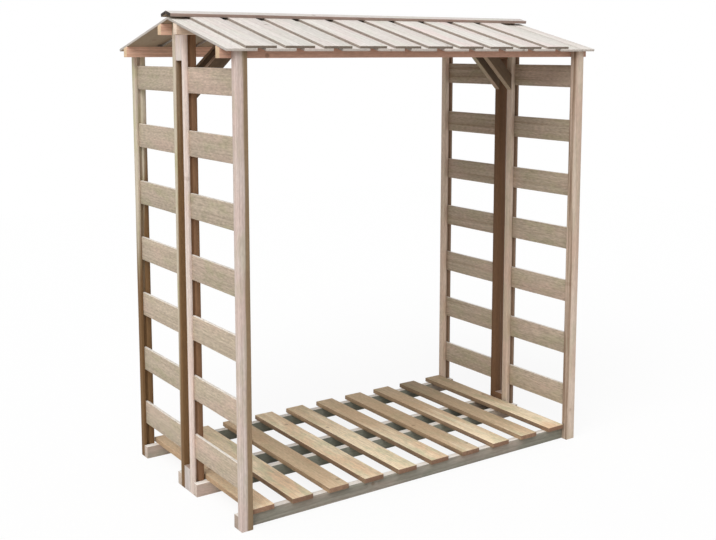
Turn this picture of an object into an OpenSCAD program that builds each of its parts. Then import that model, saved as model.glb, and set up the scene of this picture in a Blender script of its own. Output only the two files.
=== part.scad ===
// Open log store: eight grooved posts, slatted sides, slatted floor and a gable roof of boards.
// Millimetres. X runs along the front, +Y to the back, Z up; the origin is on the ground, mid plan.

/* [Frame] */
// Width across the outer faces of the posts
frame_w = 1578; // [1400:1:1750]
// Depth across the outer faces of the front and rear posts
frame_d = 854; // [760:1:1000]
// Height of the roof underside on the ridge line
ridge_z = 1729; // [1600:1:1850]
// Easing of the long sawn edges
ease = 1.5; // [1:0.5:2.5]

/* [Posts and beams] */
// Post width along the front
post_w = 44; // [40:1:52]
// Post depth from front to back
post_d = 28; // [26:1:34]
// Beam depth from front to back
beam_d = 28; // [26:1:34]
// Height of the sills on the ground
sill_h = 48; // [40:1:60]
// Height of the top beams on their tall side
plate_h = 40; // [34:1:50]
// Clear gap between the two middle posts of a side
mid_gap = 48; // [30:1:70]
// Height of the spacer blocks in that gap
block_h = 90; // [60:1:120]

/* [Side slats] */
// Slats in each side panel
slat_n = 7; // [5:1:8]
// Slat height
slat_h = 90; // [70:1:100]
// Slat thickness, and the width of the post groove
slat_t = 12; // [10:1:14]
// Post lip left outside the groove
slat_lip = 11; // [9:1:14]
// How far a slat runs into the groove
slat_in = 10; // [6:1:12]
// Lower edge of the lowest slat above the ground
slat_low = 138; // [110:1:160]
// Clear space over the highest slat, below the eave beam
slat_clear = 33; // [20:1:60]

/* [Floor] */
// Number of floor boards
floor_n = 10; // [8:1:11]
// Floor board width
floor_w = 84; // [70:1:105]
// Floor board thickness
floor_t = 18; // [14:1:24]
// Clear space between the outer boards and the posts
floor_side = 6; // [2:1:20]
// Set-back of the board ends from the outer faces of the posts
floor_back = 11; // [5:1:25]

/* [Roof] */
// Roof pitch in degrees
roof_angle = 14; // [10:0.5:17]
// Roof overhang past the posts at each end
roof_over = 42; // [30:1:90]
// Eave overhang past the outer faces of the posts
eave_over = 16; // [5:1:40]
// Roof board width
board_w = 114; // [100:1:125]
// Roof board thickness
board_t = 9; // [8:1:16]
// Width of the narrow board that closes the lower layer at the right end
closer_w = 67; // [50:1:85]
// Joint between that board and its neighbour
closer_gap = 3; // [2:1:8]
// Ridge cap board width
cap_w = 40; // [34:1:60]
// Ridge cap board thickness
cap_t = 12; // [10:1:16]
// Ridge cap overhang past the roof ends
cap_over = 4; // [0:1:20]

/* [Knee braces] */
// Brace angle above level in degrees
brace_angle = 45; // [42:1:52]
// Brace width across its length
brace_w = 47; // [40:1:54]
// Foot of the brace below the roof underside on the ridge line
brace_drop = 275; // [250:1:340]

/* [Hidden] */
lower_n = 11;
out_x = frame_w / 2;
in_x = out_x - post_w;
out_y = frame_d / 2;
mid_in = mid_gap / 2;
mid_out = mid_in + post_d;
ridge_out = mid_out + beam_d;
eave_out = out_y - post_d;
eave_in = eave_out - beam_d;
slope = tan(roof_angle);
roof_l = frame_w + 2 * roof_over;
roof_x = roof_l / 2;
plate_z = ridge_z - eave_in * slope - plate_h;
ridge_beam_z = ridge_z - mid_out * slope - plate_h;
slat_pitch = (plate_z - slat_clear - slat_low - slat_h) / (slat_n - 1);
slat_x = out_x - slat_lip - slat_t;
slat_l = eave_out - mid_out + 2 * slat_in;
floor_x = in_x - floor_side;
floor_l = 2 * (out_y - floor_back);
floor_pitch = (2 * floor_x - floor_w) / (floor_n - 1);
board_pitch = (roof_l - closer_w - closer_gap - board_w) / (lower_n - 1);
board_l = (out_y + eave_over) / cos(roof_angle);
layer = board_t / cos(roof_angle);
cap_run = cap_w * cos(roof_angle);
brace_z = ridge_z - brace_drop;
brace_rise = brace_w / cos(brace_angle);
brace_top = ridge_z - ridge_out * slope;
cut = 1;

// Node to draw, or all of them

// Height of the roof underside at a distance from the ridge line
function under(y) = ridge_z - y * slope;

// Sawn section with eased corners
module eased(w, h) {
  polygon([
    [ease, 0], [w - ease, 0], [w, ease], [w, h - ease],
    [w - ease, h], [ease, h], [0, h - ease], [0, ease]
  ]);
}

// Prism along X with a section in Y and Z
module along_x(x0, x1) {
  translate([x0, 0, 0])
    rotate([90, 0, 90])
      linear_extrude(height = x1 - x0)
        children();
}

// Prism towards the back with a section in X and Z
module along_y(y0, y1) {
  translate([0, y1, 0])
    rotate([90, 0, 0])
      linear_extrude(height = y1 - y0)
        children();
}

// Right half of the store, or its twin on the left
module side(left) {
  mirror([left ? 1 : 0, 0, 0]) children();
}

// Front half of the store, or its twin at the rear
module end(rear) {
  mirror([0, rear ? 1 : 0, 0]) children();
}

// Post drawn from a grooved section, its top cut to the roof pitch
module post(near, far, groove_y) {
  intersection() {
    linear_extrude(height = ridge_z)
      difference() {
        translate([in_x, -far]) eased(post_w, far - near);
        translate([slat_x, groove_y]) square([slat_t, slat_in + cut]);
      }
    along_x(in_x - cut, out_x + cut)
      polygon([[-far, 0], [-near, 0], [-near, under(near)], [-far, under(far)]]);
  }
}

module outer_post() {
  color("burlywood") post(eave_out, out_y, -eave_out - slat_in);
}

module mid_post() {
  color("burlywood") post(mid_in, mid_out, -mid_out - cut);
}

module sill(near, far) {
  color("tan")
    along_x(-out_x, out_x)
      translate([-far, 0]) eased(far - near, sill_h);
}

// Top beam with its lower edges eased and its top on the roof pitch
module plate(near, far, z0) {
  color("tan")
    along_x(-roof_x, roof_x)
      polygon([
        [-far, z0 + ease], [-far + ease, z0], [-near - ease, z0], [-near, z0 + ease],
        [-near, under(near)], [-far, under(far)]
      ]);
}

module block(z0) {
  color("wheat")
    translate([in_x, -mid_in, z0])
      linear_extrude(height = block_h)
        eased(post_w, mid_gap);
}

module slats() {
  color("burlywood")
    for (i = [0 : slat_n - 1])
      along_y(-eave_out - slat_in, -eave_out - slat_in + slat_l)
        translate([slat_x, slat_low + i * slat_pitch]) eased(slat_t, slat_h);
}

// Knee brace, plumb cut on the post and level cut beside the ridge beam
module brace() {
  color("peru")
    along_y(-mid_out, -mid_in)
      polygon([
        [in_x, brace_z],
        [in_x, brace_z + brace_rise],
        [in_x - (brace_top - brace_z - brace_rise) / tan(brace_angle), brace_top],
        [in_x - (brace_top - brace_z) / tan(brace_angle), brace_top]
      ]);
}

module floor_boards() {
  color("navajowhite")
    for (i = [0 : floor_n - 1])
      along_y(-floor_l / 2, floor_l / 2)
        translate([-floor_x + i * floor_pitch, sill_h]) eased(floor_w, floor_t);
}

// Roof board from the ridge line down to the eaves
module roof_board(x0, w, lift) {
  translate([x0, 0, ridge_z + lift])
    rotate([90 + roof_angle, 0, 0])
      linear_extrude(height = board_l)
        eased(w, board_t);
}

module roof_lower() {
  color("linen") {
    for (i = [0 : lower_n - 1])
      roof_board(-roof_x + i * board_pitch, board_w, 0);
    roof_board(roof_x - closer_w, closer_w, 0);
  }
}

module roof_upper() {
  color("linen")
    for (i = [0 : lower_n - 2])
      roof_board(-roof_x + (i + 0.5) * board_pitch, board_w, layer);
}

// Cap board with a plumb cut on the ridge line and its free edge eased
module ridge_cap() {
  top = ridge_z + 2 * layer;
  low = top - cap_run * slope;
  color("linen")
    along_x(-roof_x - cap_over, roof_x + cap_over)
      polygon([
        [0, top],
        [0, top + cap_t / cos(roof_angle)],
        [-cap_run - cap_t * sin(roof_angle) + ease, low + cap_t * cos(roof_angle) + ease * slope],
        [-cap_run - (cap_t - ease) * sin(roof_angle), low + (cap_t - ease) * cos(roof_angle)],
        [-cap_run, low]
      ]);
}

side(true) outer_post();  // post_front_left
side(false) outer_post();  // post_front_right
side(true) mid_post();  // post_midfront_left
side(false) mid_post();  // post_midfront_right
end(true) side(true) mid_post();  // post_midrear_left
end(true) side(false) mid_post();  // post_midrear_right
end(true) side(true) outer_post();  // post_rear_left
end(true) side(false) outer_post();  // post_rear_right
end(false) sill(eave_in, eave_out);  // sill_front
end(false) sill(mid_out, ridge_out);  // sill_midfront
end(true) sill(mid_out, ridge_out);  // sill_midrear
end(true) sill(eave_in, eave_out);  // sill_rear
end(false) plate(eave_in, eave_out, plate_z);  // plate_front
end(false) plate(mid_out, ridge_out, ridge_beam_z);  // ridge_beam_front
end(true) plate(mid_out, ridge_out, ridge_beam_z);  // ridge_beam_rear
end(true) plate(eave_in, eave_out, plate_z);  // plate_rear
side(true) block(0);  // block_low_left
side(false) block(0);  // block_low_right
side(true) block(ridge_beam_z - block_h);  // block_top_left
side(false) block(ridge_beam_z - block_h);  // block_top_right
side(true) slats();  // slats_front_left
side(false) slats();  // slats_front_right
end(true) side(true) slats();  // slats_rear_left
end(true) side(false) slats();  // slats_rear_right
side(true) brace();  // brace_front_left
side(false) brace();  // brace_front_right
end(true) side(true) brace();  // brace_rear_left
end(true) side(false) brace();  // brace_rear_right
floor_boards();
end(false) roof_lower();  // roof_lower_front
end(true) roof_lower();  // roof_lower_rear
end(false) roof_upper();  // roof_upper_front
end(true) roof_upper();  // roof_upper_rear
end(false) ridge_cap();  // ridge_cap_front
end(true) ridge_cap();  // ridge_cap_rear
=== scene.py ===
import math
import random

import bpy
from mathutils import Matrix, Vector


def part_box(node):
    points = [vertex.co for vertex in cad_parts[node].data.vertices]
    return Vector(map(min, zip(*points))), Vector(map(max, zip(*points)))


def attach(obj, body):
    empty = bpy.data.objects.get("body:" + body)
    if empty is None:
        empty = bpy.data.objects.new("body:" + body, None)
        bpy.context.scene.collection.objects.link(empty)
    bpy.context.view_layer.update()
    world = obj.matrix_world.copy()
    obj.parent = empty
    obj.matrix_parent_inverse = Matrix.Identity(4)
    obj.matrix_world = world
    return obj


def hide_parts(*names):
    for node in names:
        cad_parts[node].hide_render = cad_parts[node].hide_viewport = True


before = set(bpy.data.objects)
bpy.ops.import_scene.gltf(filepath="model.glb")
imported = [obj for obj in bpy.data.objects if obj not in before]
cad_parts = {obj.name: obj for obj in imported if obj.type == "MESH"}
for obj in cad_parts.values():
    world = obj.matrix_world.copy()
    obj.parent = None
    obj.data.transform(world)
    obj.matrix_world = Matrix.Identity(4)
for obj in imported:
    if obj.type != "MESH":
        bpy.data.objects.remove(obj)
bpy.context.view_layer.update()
scene = bpy.context.scene
chance = random.Random(7)
bpy.ops.object.select_all(action="DESELECT")
print("frame loaded with", len(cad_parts), "nodes")

xAxis, yAxis, zAxis = Vector((1, 0, 0)), Vector((0, 1, 0)), Vector((0, 0, 1))
rows = ("front", "midfront", "midrear", "rear")
halves = ("front", "rear")
sides = ("left", "right")


# Small helpers for nodes

def paint(red, green, blue):  # a screen colour, 0 to 255, as Blender's linear one
    parts = []
    for level in (red, green, blue):
        level /= 255
        parts.append(level / 12.92 if level < 0.04045 else ((level + 0.055) / 1.055) ** 2.4)
    return (*parts, 1)


def put(tree, kind, sockets=None, **settings):  # adds a node, sets it up and wires its inputs
    node = tree.nodes.new(kind)
    for key, value in settings.items():
        setattr(node, key, value)
    for key, value in (sockets or {}).items():
        if isinstance(value, bpy.types.NodeSocket):
            tree.links.new(value, node.inputs[key])
        else:
            node.inputs[key].default_value = value
    return node


def calc(tree, operation, *terms):
    return put(tree, "ShaderNodeMath", dict(enumerate(terms)), operation=operation).outputs[0]


def ramp(tree, value, low, high, start=0.0, end=1.0):  # smooth step from low to high
    sockets = {"Value": value, "From Min": low, "From Max": high, "To Min": start, "To Max": end}
    return put(tree, "ShaderNodeMapRange", sockets, interpolation_type="SMOOTHSTEP").outputs[0]


def swing(tree, value, amount):  # a factor that swings by the amount, half below 1 and half above
    return calc(tree, "MULTIPLY_ADD", value, amount, 1 - amount / 2)


def blend(tree, share, first, second, mode="MIX"):
    sockets = {0: share, 6: first, 7: second}  # 6 and 7 are the Mix node's colours, and 2 is their result
    node = put(tree, "ShaderNodeMix", sockets, data_type="RGBA", blend_type=mode)
    return node.outputs[2]


def tinted(tree, colour, mask, share, tint):  # lays a share of a tint over a colour, where the mask is
    return blend(tree, calc(tree, "MULTIPLY", mask, share), colour, tint)


def stretched(tree, vector, scale):
    sockets = {0: vector, 1: scale}
    return put(tree, "ShaderNodeVectorMath", sockets, operation="MULTIPLY").outputs[0]


def cloud(tree, vector, scale, detail):
    sockets = {"Vector": stretched(tree, vector, scale), "Scale": 1.0, "Detail": detail}
    return put(tree, "ShaderNodeTexNoise", sockets).outputs[0]


# Pine figure: growth rings, fibres, knots and blotches in a board's own length, width and thickness

figure = {
    "ring": 0.0075,        # metres from one ring to the next
    "lateFrom": 0.25,      # share of a ring at which its late wood starts to darken
    "lateFull": 0.88,      # share at which it is darkest
    "lateEnd": 0.92,       # share from which it fades again
    "stray": 0.016,        # how far the rings stray along a board
    "knotCell": 0.33,      # one knot at most in each square of this size
    "knot": 0.011,         # radius of a knot
    "knotCore": 0.45,      # part of that radius that is fully dark
    "knotUneven": 0.006,   # unevenness of a knot's edge
    "bendReach": 4,        # knot radii within which the rings bend round a knot
    "bend": 0.9,           # how far they bend, in knot radii
    "fibreRelief": 0.7,
    "ringRelief": 0.35,
    # noise: cells per metre along, across and through a board, and levels of detail
    "knotEdge": ((60, 60, 60), 2),
    "wander": ((1.1, 7, 7), 2),
    "fibre": ((9, 520, 520), 3),
    "saw": ((48, 210, 210), 4),
    "streak": ((1.4, 70, 70), 3),
    "blotch": ((3.2, 11, 11), 2),
    "stain": ((9, 23, 17), 3),
}


def pineFigureGroup():
    tree = bpy.data.node_groups.new("pineFigure", "ShaderNodeTree")
    face = tree.interface
    face.new_socket("Grain", in_out="INPUT", socket_type="NodeSocketVector")
    face.new_socket("Knots", in_out="INPUT", socket_type="NodeSocketFloat")
    for name in ("Rings", "Fibre", "Saw", "Streak", "Blotch", "Stain", "Knot", "Height"):
        face.new_socket(name, in_out="OUTPUT", socket_type="NodeSocketFloat")
    starts = tree.nodes.new("NodeGroupInput")
    grain = starts.outputs["Grain"]
    knots = starts.outputs["Knots"]
    ends = tree.nodes.new("NodeGroupOutput")

    perCell = 1 / figure["knotCell"]
    flat = stretched(tree, grain, (perCell, perCell, 0))
    cells = put(tree, "ShaderNodeTexVoronoi", {"Vector": flat, "Scale": 1.0}, voronoi_dimensions="2D")
    reach = calc(tree, "MULTIPLY", cells.outputs["Distance"], figure["knotCell"])
    edge = cloud(tree, grain, *figure["knotEdge"])
    uneven = calc(tree, "MULTIPLY_ADD", edge, figure["knotUneven"], -figure["knotUneven"] / 2)
    reach = calc(tree, "ADD", reach, uneven)
    knot = ramp(tree, reach, figure["knot"], figure["knot"] * figure["knotCore"])
    knot = calc(tree, "MULTIPLY", knot, knots)
    bendFrom, bendMost = figure["knot"] * figure["bendReach"], figure["knot"] * figure["bend"]
    bend = ramp(tree, reach, bendFrom, 0.0, 0.0, bendMost)
    bend = calc(tree, "MULTIPLY", bend, knots)

    # rings are counted by the distance from the heart of the tree
    parts = put(tree, "ShaderNodeSeparateXYZ", {0: grain}).outputs
    across = calc(tree, "POWER", parts["Y"], 2.0)
    through = calc(tree, "POWER", parts["Z"], 2.0)
    fromPith = calc(tree, "SQRT", calc(tree, "ADD", across, through))
    stray = calc(tree, "MULTIPLY", cloud(tree, grain, *figure["wander"]), figure["stray"])
    radius = calc(tree, "ADD", fromPith, calc(tree, "ADD", stray, bend))
    turn = calc(tree, "FRACT", calc(tree, "DIVIDE", radius, figure["ring"]))
    darken = ramp(tree, turn, figure["lateFrom"], figure["lateFull"])
    late = calc(tree, "MULTIPLY", darken, ramp(tree, turn, 1.0, figure["lateEnd"]))

    fibre = cloud(tree, grain, *figure["fibre"])
    saw = cloud(tree, grain, *figure["saw"])
    streak = cloud(tree, grain, *figure["streak"])
    blotch = cloud(tree, grain, *figure["blotch"])
    stain = cloud(tree, grain, *figure["stain"])
    ridges = calc(tree, "MULTIPLY", late, figure["ringRelief"])
    height = calc(tree, "MULTIPLY_ADD", fibre, figure["fibreRelief"], ridges)
    results = {"Rings": late, "Fibre": fibre, "Saw": saw, "Streak": streak, "Blotch": blotch,
               "Stain": stain, "Knot": knot, "Height": height}
    for name, value in results.items():
        tree.links.new(value, ends.inputs[name])
    return tree


pineFigure = pineFigureGroup()
print("pine figure ready")


# One recipe for all the timber: each kind of stick has its own tones and shares

weatherAndShading = {
    "warmth": 0.9,         # how far a board's shade turns it from green to pink
    "heartFrom": 0.52,     # middle of the heartwood's edge
    "heartWaver": 0.7,     # how far the streaks move that edge
    # where each tint starts and where it is full
    "blush": (0.42, 0.68),  # in the blotches
    "algae": (0.44, 0.7),   # in the stains
    "sideShade": (0.75, 0.35),  # painted shade on upright faces, partly their own darker colour: by how far a face looks up or down
    "under": (-0.6, -0.9),  # painted shade on downward faces: by how far it looks up
    "top": (0.7, 0.98),     # painted light on upward faces: the same
    "rough": (0.86, 0.72),  # roughness of early wood and of late wood
    "gloss": 0.25,
    "bump": 0.35,
    "bumpDepth": 0.0012,
}


def pineWood(name, tones):
    material = bpy.data.materials.new(name)
    material.use_nodes = True
    tree = material.node_tree
    skin = tree.nodes["Principled BSDF"]

    grain = put(tree, "ShaderNodeAttribute", attribute_name="grain").outputs["Vector"]
    tone = put(tree, "ShaderNodeAttribute", attribute_name="tone").outputs["Fac"]
    heart = put(tree, "ShaderNodeAttribute", attribute_name="heart").outputs["Fac"]
    cut = put(tree, "ShaderNodeAttribute", attribute_name="endCut").outputs["Fac"]
    asked = {"Grain": grain, "Knots": tones["knots"]}
    wood = put(tree, "ShaderNodeGroup", asked, node_tree=pineFigure).outputs
    normal = put(tree, "ShaderNodeNewGeometry").outputs["Normal"]
    upward = put(tree, "ShaderNodeSeparateXYZ", {0: normal}).outputs["Z"]

    # early and late wood, pink and green weathering, and heartwood, whose tint also carries painted shade
    # on the sills, the right-hand slats and the back of the floor
    colour = tinted(tree, tones["pale"], wood["Rings"], tones["rings"], tones["dark"])
    blotch = ramp(tree, wood["Blotch"], *weatherAndShading["blush"])
    pink = calc(tree, "MULTIPLY", blotch, swing(tree, tone, weatherAndShading["warmth"]))
    colour = tinted(tree, colour, pink, tones["blush"], tones["pink"])
    stain = ramp(tree, wood["Stain"], *weatherAndShading["algae"])
    green = calc(tree, "MULTIPLY", stain, swing(tree, tone, -weatherAndShading["warmth"]))
    colour = tinted(tree, colour, green, tones["algae"], tones["green"])
    # painted shade on upright faces, partly the sides' own darker colour
    sideShade = ramp(tree, calc(tree, "ABSOLUTE", upward), *weatherAndShading["sideShade"])
    colour = tinted(tree, colour, sideShade, tones["sideShade"], tones["side"])
    waver = calc(tree, "MULTIPLY_ADD", wood["Streak"], weatherAndShading["heartWaver"], -weatherAndShading["heartWaver"] / 2)
    start, full = weatherAndShading["heartFrom"] - tones["soft"], weatherAndShading["heartFrom"] + tones["soft"]
    core = ramp(tree, calc(tree, "ADD", heart, waver), start, full)
    colour = tinted(tree, colour, core, tones["heartShare"], tones["heart"])

    # what depends on where a face looks: painted shade on downward faces and painted light on upward
    # faces; then end grain and knots
    below = ramp(tree, upward, *weatherAndShading["under"])
    colour = tinted(tree, colour, below, tones["shade"], tones["under"])
    above = ramp(tree, upward, *weatherAndShading["top"])
    colour = tinted(tree, colour, above, tones["topLight"], tones["top"])
    colour = tinted(tree, colour, cut, tones["endShare"], tones["end"])
    colour = blend(tree, wood["Knot"], colour, tones["knot"])

    # light and dark from board to board and along the grain
    level = swing(tree, tone, tones["spread"])
    for mark in ("Saw", "Fibre", "Streak"):
        level = calc(tree, "MULTIPLY", level, swing(tree, wood[mark], tones[mark.lower()]))
    grey = put(tree, "ShaderNodeCombineColor", {0: level, 1: level, 2: level}).outputs[0]
    colour = blend(tree, 1.0, colour, grey, "MULTIPLY")
    tree.links.new(colour, skin.inputs["Base Color"])

    rough = ramp(tree, wood["Rings"], 0.0, 1.0, *weatherAndShading["rough"])
    tree.links.new(rough, skin.inputs["Roughness"])
    skin.inputs["Specular IOR Level"].default_value = weatherAndShading["gloss"]
    relief = {"Height": wood["Height"], "Strength": weatherAndShading["bump"], "Distance": weatherAndShading["bumpDepth"]}
    bump = put(tree, "ShaderNodeBump", relief)
    tree.links.new(bump.outputs[0], skin.inputs["Normal"])
    return material


# shares of each effect and then tints: a kind of stick changes only what it needs; the side tint is
# painted shade on upright faces, partly their own darker colour, the under tint is painted shade on
# downward faces, and the top tint is painted light on upward faces
plainTones = {
    "rings": 0.6, "blush": 0.5, "algae": 0.35, "sideShade": 0.0, "topLight": 0.0, "shade": 0.0, "endShare": 0.7,
    "knots": 0.45, "spread": 0.12, "fibre": 0.34, "streak": 0.36, "saw": 0.5,
    "soft": 0.1, "heartShare": 1.0,
    "pink": paint(214, 184, 172), "green": paint(188, 182, 152), "heart": paint(126, 94, 68),
    "side": paint(150, 120, 95), "under": paint(134, 109, 74), "top": paint(240, 234, 226),
    "end": paint(150, 112, 88), "knot": paint(112, 78, 54),
}
postTones = dict(plainTones, pale=paint(228, 212, 203), dark=paint(204, 182, 170),
                 topLight=0.7, spread=0.5, knots=0.2)
cornerTones = dict(postTones, heart=paint(154, 130, 102))
mossyTones = dict(postTones, pale=paint(214, 204, 180), green=paint(196, 190, 148),
                  heart=paint(124, 94, 62), algae=0.65, blush=0.2, soft=0.2)
innerTones = dict(postTones, pale=paint(222, 202, 184), dark=paint(196, 170, 148),
                  pink=paint(206, 174, 154), heart=paint(140, 116, 96))
# on the slats the heartwood tint is painted shade, used on the right wall
slatTones = dict(plainTones, pale=paint(193, 177, 157), dark=paint(160, 143, 123),
                 pink=paint(200, 175, 159), green=paint(176, 168, 138), heart=paint(118, 96, 74),
                 topLight=0.85, knots=0.1, blush=0.55, algae=0.5, rings=0.4, streak=0.3, saw=1.0, soft=0.28)
# on the sills the heartwood tint is painted shade under the floor
sillTones = dict(plainTones, pale=paint(172, 157, 143), dark=paint(143, 129, 114),
                 green=paint(170, 170, 152), heart=paint(140, 142, 130), end=paint(210, 194, 180),
                 topLight=0.9, algae=0.5, blush=0.3)
kerbTones = dict(sillTones, pale=paint(152, 147, 135), dark=paint(124, 119, 107),
                 green=paint(128, 130, 115), end=paint(176, 156, 142))
plateTones = dict(plainTones, pale=paint(230, 188, 164), dark=paint(204, 158, 132),
                  pink=paint(222, 172, 146), heart=paint(204, 160, 138), end=paint(226, 198, 162),
                  endShare=0.9, algae=0.2)
blockTones = dict(plainTones, pale=paint(228, 218, 212), dark=paint(204, 190, 180),
                  topLight=0.9, spread=0.5)
ridgeTones = dict(plainTones, pale=paint(236, 212, 188), dark=paint(208, 180, 152),
                  end=paint(244, 224, 204))
braceTones = dict(plainTones, pale=paint(168, 147, 124), dark=paint(140, 116, 94),
                  side=paint(106, 88, 70), topLight=0.4, sideShade=0.92)
# on the floor the heartwood tint is partly painted shade towards the back, and the side tint is painted
# shade on the board edges, partly their own darker colour
floorTones = dict(plainTones, pale=paint(246, 228, 198), dark=paint(222, 198, 162),
                  pink=paint(222, 188, 154), green=paint(206, 200, 166), heart=paint(186, 158, 126),
                  side=paint(116, 84, 60), end=paint(130, 98, 80), heartShare=0.7, blush=0.7,
                  algae=0.8, sideShade=0.85, spread=0.5, soft=0.2, saw=0.75)
# the roof boards carry painted shade on their undersides and on their upright edges
roofTones = dict(plainTones, pale=paint(233, 228, 222), dark=paint(214, 206, 198),
                 pink=paint(230, 210, 206), green=paint(220, 220, 206), side=paint(150, 137, 126),
                 end=paint(122, 106, 90), sideShade=0.9, shade=0.85, spread=0.08)
layerTones = dict(roofTones, end=paint(216, 205, 194), sideShade=0.5)
# painted shade: the cap's ends near-black, for the shadowed hollow under the cap
capTones = dict(roofTones, pale=paint(222, 216, 212), side=paint(150, 118, 104),
                end=paint(62, 54, 48), endShare=1.0, sideShade=0.8)

timber = {
    "post": pineWood("postPine", postTones),
    "corner": pineWood("cornerPostPine", cornerTones),
    "mossy": pineWood("mossyPostPine", mossyTones),
    "inner": pineWood("innerPostPine", innerTones),
    "slat": pineWood("slatPine", slatTones),
    "sill": pineWood("sillPine", sillTones),
    "kerb": pineWood("kerbPine", kerbTones),
    "plate": pineWood("platePine", plateTones),
    "block": pineWood("blockPine", blockTones),
    "ridge": pineWood("ridgePine", ridgeTones),
    "brace": pineWood("bracePine", braceTones),
    "floor": pineWood("floorPine", floorTones),
    "upper": pineWood("upperRoofPine", roofTones),
    "lower": pineWood("lowerRoofPine", layerTones),
    "cap": pineWood("capPine", capTones),
}
print("timber finishes ready:", len(timber))


# Sawn boards, each drawn round one solid of the frame

sawn = {
    "ease": 0.0013,        # rounding of the sharp edges
    "easeSteps": 2,
    "easeAngle": 35,       # degrees between faces from which an edge is rounded
    "smoothAngle": 28,     # degrees between faces below which they are shaded as one
    "lengths": 6,          # a board is cut across into this many, so that its sawn faces can be uneven along it
    "wave": 0.0014,        # unevenness of the sawn faces
    "waveSize": 0.16,
    "figureRun": 40,       # metres of figure that the boards are taken from
    "pithSide": 0.024,     # how far the heart of the tree may lie to the side of a board
    "pithNear": 0.012,     # how far it lies in front of or behind a board
    "pithFar": 0.06,
    "endFacing": 0.7,      # a face that looks this far along the board is an end
    "sameCorner": 5,       # decimals of a metre at which corners are the same
}


def looseSolids(nodeName):  # the corner points of each separate solid in a node, left to right or upwards
    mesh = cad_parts[nodeName].data
    corners = [tuple(round(c, sawn["sameCorner"]) for c in vertex.co) for vertex in mesh.vertices]
    home = {corner: corner for corner in corners}

    def rootOf(corner):
        while home[corner] != corner:
            corner = home[corner]
        return corner

    for polygon in mesh.polygons:
        first = rootOf(corners[polygon.vertices[0]])
        for index in polygon.vertices[1:]:
            home[rootOf(corners[index])] = first
    solids = {}
    for corner in home:
        solids.setdefault(rootOf(corner), []).append(Vector(corner))
    return sorted(solids.values(), key=lambda points: min(p.x + p.z for p in points))


def roofPitch():  # angle of the roof, from the largest face of a roof board
    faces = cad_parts["roof_upper_front"].data.polygons
    widest = max(faces, key=lambda polygon: polygon.area)
    return math.atan2(abs(widest.normal.y), abs(widest.normal.z))


unevenSawing = bpy.data.textures.new("unevenSawing", "CLOUDS")
unevenSawing.noise_scale = sawn["waveSize"]


def applied(kind, **settings):  # adds a modifier to the active object and applies it
    bpy.ops.object.modifier_add(type=kind)
    modifier = bpy.context.object.modifiers[-1]
    for key, value in settings.items():
        setattr(modifier, key, value)
    bpy.ops.object.modifier_apply(modifier=modifier.name)


def cutAt(point, normal, clear=False):  # cuts the board in edit mode, and with clear drops what lies past
    bpy.ops.mesh.select_all(action="SELECT")
    bpy.ops.mesh.bisect(plane_co=point, plane_no=normal, clear_outer=clear, use_fill=clear)


# a board round a solid's corners: cuts are planes that trim it, grooves are objects that cut into it,
# heart gives the heartwood tint at a spot (painted shade on the sills, the right-hand slats and the back
# of the floor), tone is its shade and fade how fast that drops along it
def sawBoard(points, along, across, cuts=(), grooves=(), nudge=Vector(), heart=None, tone=None, fade=0):
    thick = along.cross(across)
    turn = Matrix((across, thick, along)).transposed()
    inside = [turn.transposed() @ p for p in points]
    low = Vector([min(p[i] for p in inside) for i in range(3)])
    high = Vector([max(p[i] for p in inside) for i in range(3)])
    middle = turn @ ((low + high) / 2)

    bpy.ops.mesh.primitive_cube_add(size=1)
    board = bpy.context.object
    board.matrix_world = Matrix.LocRotScale(middle, turn, high - low)
    bpy.ops.object.transform_apply(location=True, rotation=True, scale=True)
    bpy.ops.object.mode_set(mode="EDIT")
    length = high.z - low.z
    for step in range(1, sawn["lengths"]):
        cutAt(middle + along * length * (step / sawn["lengths"] - 0.5), along)
    for point, normal in cuts:
        cutAt(point, normal, clear=True)
    bpy.ops.object.mode_set(mode="OBJECT")
    for cutter in grooves:
        applied("BOOLEAN", object=cutter, operation="DIFFERENCE", solver="EXACT")
    applied("BEVEL", width=sawn["ease"], segments=sawn["easeSteps"], limit_method="ANGLE",
            angle_limit=math.radians(sawn["easeAngle"]))
    applied("DISPLACE", texture=unevenSawing, texture_coords="LOCAL", strength=sawn["wave"])
    markGrain(board, middle, (along, across, thick), heart, tone, fade)
    board.data.transform(Matrix.Translation(nudge))
    return board


def markGrain(board, middle, axes, heart, tone, fade):  # stores what the timber finishes read
    mesh = board.data
    drift = Vector((chance.uniform(0, sawn["figureRun"]), chance.uniform(-1, 1) * sawn["pithSide"], 0))
    drift.z = chance.choice((-1, 1)) * chance.uniform(sawn["pithNear"], sawn["pithFar"])
    toneLevel = chance.random() if tone is None else tone
    spots = [vertex.co - middle for vertex in mesh.vertices]
    for name, kind in (("grain", "FLOAT_VECTOR"), ("tone", "FLOAT"), ("heart", "FLOAT")):
        mesh.attributes.new(name, kind, "POINT")
    for index, spot in enumerate(spots):
        place = Vector([spot.dot(axis) for axis in axes])
        mesh.attributes["grain"].data[index].vector = place + drift
        mesh.attributes["tone"].data[index].value = toneLevel - fade * place.x
        mesh.attributes["heart"].data[index].value = heart(spot) if heart else 0.0
    ends = mesh.attributes.new("endCut", "FLOAT", "FACE")
    for polygon in mesh.polygons:
        isEnd = abs(polygon.normal.dot(axes[0])) > sawn["endFacing"]
        ends.data[polygon.index].value = 1.0 if isEnd else 0.0


def joinPiece(nodeName, boards, wood):  # joins a node's boards into the piece that stands for it
    bpy.ops.object.select_all(action="DESELECT")
    for board in boards:
        board.select_set(True)
    bpy.context.view_layer.objects.active = boards[0]
    if len(boards) > 1:
        bpy.ops.object.join()
    piece = bpy.context.object
    piece.name = nodeName + ".wood"
    piece.data.name = piece.name
    piece.data.materials.clear()
    piece.data.materials.append(timber[wood])
    bpy.ops.object.shade_smooth_by_angle(angle=math.radians(sawn["smoothAngle"]))
    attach(piece, "root")
    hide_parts(nodeName)
    piece.select_set(False)


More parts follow.
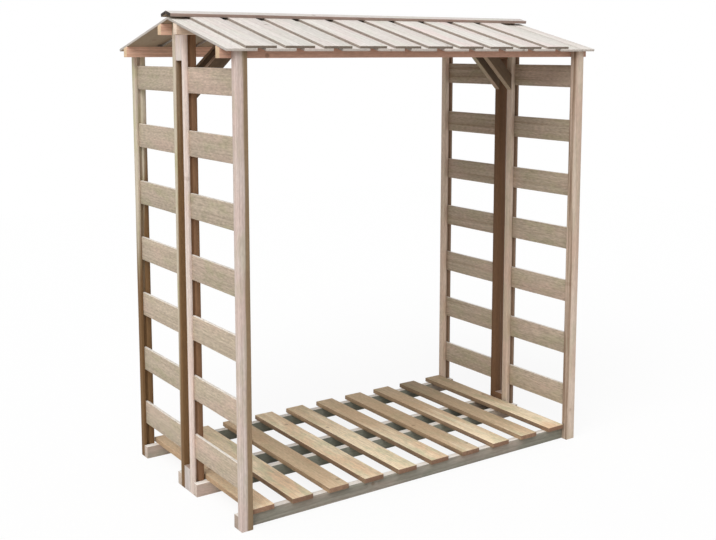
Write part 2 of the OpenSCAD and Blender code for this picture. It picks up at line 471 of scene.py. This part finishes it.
pitch = roofPitch()
outward = {"front": -1, "rear": 1}  # from the ridge to the eaves
roofNormal = {half: Vector((0, out * math.sin(pitch), math.cos(pitch))) for half, out in outward.items()}
downSlope = {half: Vector((0, out * math.cos(pitch), -math.sin(pitch))) for half, out in outward.items()}
ridgeFoot = min(looseSolids("roof_lower_front")[0], key=lambda p: (abs(p.y), p.z))
roofUnder = {half: (ridgeFoot, roofNormal[half]) for half in halves}


# Posts: grooved for the slats, tops cut to the roof pitch, some with darker heartwood on one side

posts = {
    "grooveLip": 0.011,
    "grooveWidth": 0.012,
    "grooveDepth": 0.010,
    "cutterOverrun": 1.2,  # length of the groove's cutter, in post lengths
    "spare": {"midrear_right": 0.003},  # sawn a little wide
    "dampBelow": 0.45,     # metres above a post's middle, from which damp adds heartwood downwards
    # wood, shade, heartwood in the middle, and its rise per metre to the right, back and down
    "front_left": ("corner", 0.4, 0.4, 30, 0, 0.26),
    "front_right": ("inner", 0.5, 0.3, -10, 0, 0),
    "midfront_left": ("post", 0.72, 0.65, 20, 0, 0),
    "midfront_right": ("inner", 0.42, 0.35, 20, -14, 0),
    "midrear_left": ("mossy", 0.5, 0.52, 12, -20, 0.42),
    "midrear_right": ("post", 0.1, 0.6, -10, -10, 0),
    "rear_left": ("mossy", 0.45, 0.3, 10, 0, 1.15),
    "rear_right": ("inner", 0.6, 0.35, 20, -14, 0),
}


def postHeart(place):
    base, right, back, down = posts[place][2:]
    return lambda spot: min(1, base + right * spot.x + back * spot.y
                            + down * max(0, posts["dampBelow"] - spot.z))


def grooveCutter(low, high, left, onFront):  # a stick as wide as the groove, to cut it with
    outer = low.x if left else high.x
    inward = 1 if left else -1
    middleX = outer + inward * (posts["grooveLip"] + posts["grooveWidth"] / 2)
    wall = low.y if onFront else high.y
    middle = Vector((middleX, wall, (low.z + high.z) / 2))
    length = (high.z - low.z) * posts["cutterOverrun"]
    bpy.ops.mesh.primitive_cube_add(size=1)
    cutter = bpy.context.object
    size = Vector((posts["grooveWidth"], posts["grooveDepth"] * 2, length))
    cutter.matrix_world = Matrix.LocRotScale(middle, None, size)
    bpy.ops.object.transform_apply(location=True, rotation=True, scale=True)
    return cutter


for row in rows:
    for side in sides:
        place = row + "_" + side
        nodeName = "post_" + place
        low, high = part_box(nodeName)
        half = "front" if row.endswith("front") else "rear"
        cutter = grooveCutter(low, high, side == "left", row in ("midfront", "rear"))
        wood, tone = posts[place][:2]
        points = looseSolids(nodeName)[0] + [high + xAxis * posts["spare"].get(place, 0)]
        post = sawBoard(points, zAxis, xAxis, cuts=[roofUnder[half]], grooves=[cutter],
                        heart=postHeart(place), tone=tone)
        bpy.data.objects.remove(cutter)
        joinPiece(nodeName, [post], wood)
print("posts done")


# Sills on the ground, top beams under the roof, spacer blocks between the middle posts

sills = {
    "underFloorShade": 0.9,           # share of painted shade under the floor, in the heartwood tint
    "shadeEndsFrom": 0.52,       # metres to either side of the middle, past which the painted shade fades
    "shadeFade": 3.2,            # how fast the painted shade fades towards its ends, per metre
}


# painted shade where a sill lies under the floor, fading towards its open ends
def sillShade(spot):
    return sills["underFloorShade"] - sills["shadeFade"] * max(0, abs(spot.x) - sills["shadeEndsFrom"])


for row in rows:
    nodeName = "sill_" + row
    # the sills other than the kerb carry that painted shade in their heartwood tint
    wood, heart = ("kerb", None) if row == "front" else ("sill", sillShade)
    joinPiece(nodeName, [sawBoard(looseSolids(nodeName)[0], xAxis, zAxis, heart=heart)], wood)

beams = {  # wood, heartwood share and shade of each top beam
    "plate_front": ("plate", 0.62, 0.3),
    "plate_rear": ("plate", 0.2, 0.9),
    "ridge_beam_front": ("ridge", 0.0, 0.6),
    "ridge_beam_rear": ("plate", 0.4, 0.8),
}
for nodeName, (wood, share, tone) in beams.items():
    half = nodeName.split("_")[-1]
    beam = sawBoard(looseSolids(nodeName)[0], xAxis, zAxis, cuts=[roofUnder[half]],
                    heart=lambda spot: share, tone=tone)
    joinPiece(nodeName, [beam], wood)

blocks = {
    "shade": {"low": 0.15, "top": 0.8},
    "heart": {"left": 0, "right": 0.8},  # share of the dark brown tint, on the right-hand blocks only
}
for level, tone in blocks["shade"].items():
    for side, share in blocks["heart"].items():
        nodeName = "block_" + level + "_" + side
        block = sawBoard(looseSolids(nodeName)[0], zAxis, yAxis, heart=lambda spot: share, tone=tone)
        joinPiece(nodeName, [block], "block")
print("beams and blocks done")


# Side slats, those of the right wall with painted shade, browner towards the roof

slats = {
    "rightWallShade": {"front": 0.38, "rear": 0.45},  # share of painted shade on the right wall, in the heartwood tint
    "shadeAt": 1.25,       # height at which it has that share
    "shadeRise": 0.14,     # how much more it is, per metre above that
}
for half in halves:
    for side in sides:
        nodeName = "slats_" + half + "_" + side
        boards = []
        for points in looseSolids(nodeName):
            # painted shade on the right wall, more of it towards the roof
            rightWallShade = slats["rightWallShade"][half] + (points[0].z - slats["shadeAt"]) * slats["shadeRise"]
            share = rightWallShade if side == "right" else 0
            boards.append(sawBoard(points, yAxis, zAxis, heart=lambda spot: share))
        joinPiece(nodeName, boards, "slat")
print("slats done")


# Knee braces, cut plumb against the post and level under the roof

for half in halves:
    for side in sides:
        nodeName = "brace_" + half + "_" + side
        low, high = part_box(nodeName)
        lean = 1 if side == "left" else -1
        along = Vector((lean, 0, 1)).normalized()
        across = Vector((lean, 0, -1)).normalized()
        postFace = Vector((low.x if lean > 0 else high.x, 0, 0))
        cuts = [(postFace, xAxis * -lean), (high, zAxis)]
        brace = sawBoard(looseSolids(nodeName)[0], along, across, cuts=cuts)
        joinPiece(nodeName, [brace], "brace")
print("braces done")


# Floor boards, a little out of line with each other

floorBoards = {
    "stray": 0.002,
    "backShade": 0.8,           # painted shade: browner towards the back, under the roof, per metre
    # the boards from left to right: share of brown, shade, and how much darker towards the back, per
    # metre, which on the right-hand boards is partly painted shade
    "worn": [0.75, 0.25, 0.95, 0.2, 0.35, 0.55, 0.8, 0.55, 0.9, 0.5],
    "shade": [1, 0.62, 0.58, 0.58, 0.6, 0.5, 0.42, 0.45, 0.12, 0.34],
    "fade": [0, -0.3, 0, -0.25, -0.1, 0, 0, 0.5, 1.3, 0.8],
}
boards = []
boardLooks = zip(floorBoards["worn"], floorBoards["shade"], floorBoards["fade"])
for points, (worn, shade, fade) in zip(looseSolids("floor_boards"), boardLooks):
    stray = Vector([chance.uniform(-1, 1) * floorBoards["stray"] for i in range(2)] + [0])
    boards.append(sawBoard(points, yAxis, xAxis, nudge=stray, tone=shade, fade=fade,
                           heart=lambda spot: worn + floorBoards["backShade"] * spot.y))
joinPiece("floor_boards", boards, "floor")
print("floor done")


# Roof boards in two layers and the ridge cap

roofBoards = {"stray": 0.002}
for half in halves:
    for layer in ("lower", "upper"):
        nodeName = "roof_" + layer + "_" + half
        boards = []
        for points in looseSolids(nodeName):
            stray = downSlope[half] * chance.uniform(-1, 1) * roofBoards["stray"]
            stray += xAxis * chance.uniform(-1, 1) * roofBoards["stray"]
            boards.append(sawBoard(points, downSlope[half], xAxis, nudge=stray))
        joinPiece(nodeName, boards, layer)
    nodeName = "ridge_cap_" + half
    plumbCut = (Vector(), yAxis * -outward[half])
    cap = sawBoard(looseSolids(nodeName)[0], xAxis, downSlope[half], cuts=[plumbCut])
    joinPiece(nodeName, [cap], "cap")
print("roof done")


# Studio: white floor and background, soft light from the upper left

studio = {
    "white": (1, 1, 1, 1),
    "sky": 0.45,
    "keyStrength": 2.2,
    "keyFrom": Vector((-0.55, -0.38, 0.74)),
    "keySoftness": 50,     # degrees across
    "bounce": 0.72,        # how much light the floor throws back
    "shadow": 0.13,        # how much of the object's shadow shows on the floor
    "floor": 14,
    "floorRough": 0.9,
}


def seenRays(tree):  # 1 for rays that show a surface to the camera, straight, mirrored or through glass
    rays = put(tree, "ShaderNodeLightPath").outputs
    seen = calc(tree, "MAXIMUM", rays["Is Camera Ray"], rays["Is Glossy Ray"])
    return calc(tree, "MAXIMUM", seen, rays["Is Transmission Ray"])


bpy.ops.mesh.primitive_plane_add(size=studio["floor"])
ground = bpy.context.object
ground.name = "studioFloor"
white = bpy.data.materials.new("studioWhite")
white.use_nodes = True
tree = white.node_tree
surface = tree.nodes["Principled BSDF"]
surface.inputs["Roughness"].default_value = studio["floorRough"]
seen = seenRays(tree)
dull = (studio["bounce"], studio["bounce"], studio["bounce"], 1)
tree.links.new(blend(tree, seen, dull, studio["white"]), surface.inputs["Base Color"])
glow = put(tree, "ShaderNodeEmission", {"Color": studio["white"], "Strength": 1.0})
mixed = put(tree, "ShaderNodeMixShader", {0: calc(tree, "MULTIPLY", seen, 1 - studio["shadow"])})
tree.links.new(surface.outputs[0], mixed.inputs[1])
tree.links.new(glow.outputs[0], mixed.inputs[2])
tree.links.new(mixed.outputs[0], tree.nodes["Material Output"].inputs["Surface"])
ground.data.materials.append(white)

world = bpy.data.worlds.new("studioSky")
scene.world = world
world.use_nodes = True
tree = world.node_tree
strength = calc(tree, "MULTIPLY_ADD", seenRays(tree), 1 - studio["sky"], studio["sky"])
tree.links.new(strength, tree.nodes["Background"].inputs["Strength"])
tree.nodes["Background"].inputs["Color"].default_value = studio["white"]

bpy.ops.object.light_add(type="SUN")
keyLight = bpy.context.object
keyLight.name = "keyLight"
keyLight.data.energy = studio["keyStrength"]
keyLight.data.angle = math.radians(studio["keySoftness"])
keyLight.rotation_euler = studio["keyFrom"].to_track_quat("Z", "Y").to_euler()

shot = {
    "place": (-2.3812, -3.4542, 1.6153),
    "turn": 34.334,        # degrees to the right of straight back
    "dip": 7.170,          # degrees below level
    "lens": 53.06,
    "sensor": 36,
    "shiftY": -0.1187,
}
bpy.ops.object.camera_add(location=shot["place"])
camera = bpy.context.object
camera.rotation_euler = (math.radians(90 - shot["dip"]), 0, math.radians(-shot["turn"]))
camera.data.lens = shot["lens"]
camera.data.sensor_width = shot["sensor"]
camera.data.shift_y = shot["shiftY"]
scene.camera = camera
scene.view_settings.view_transform = "Standard"
print("studio ready")
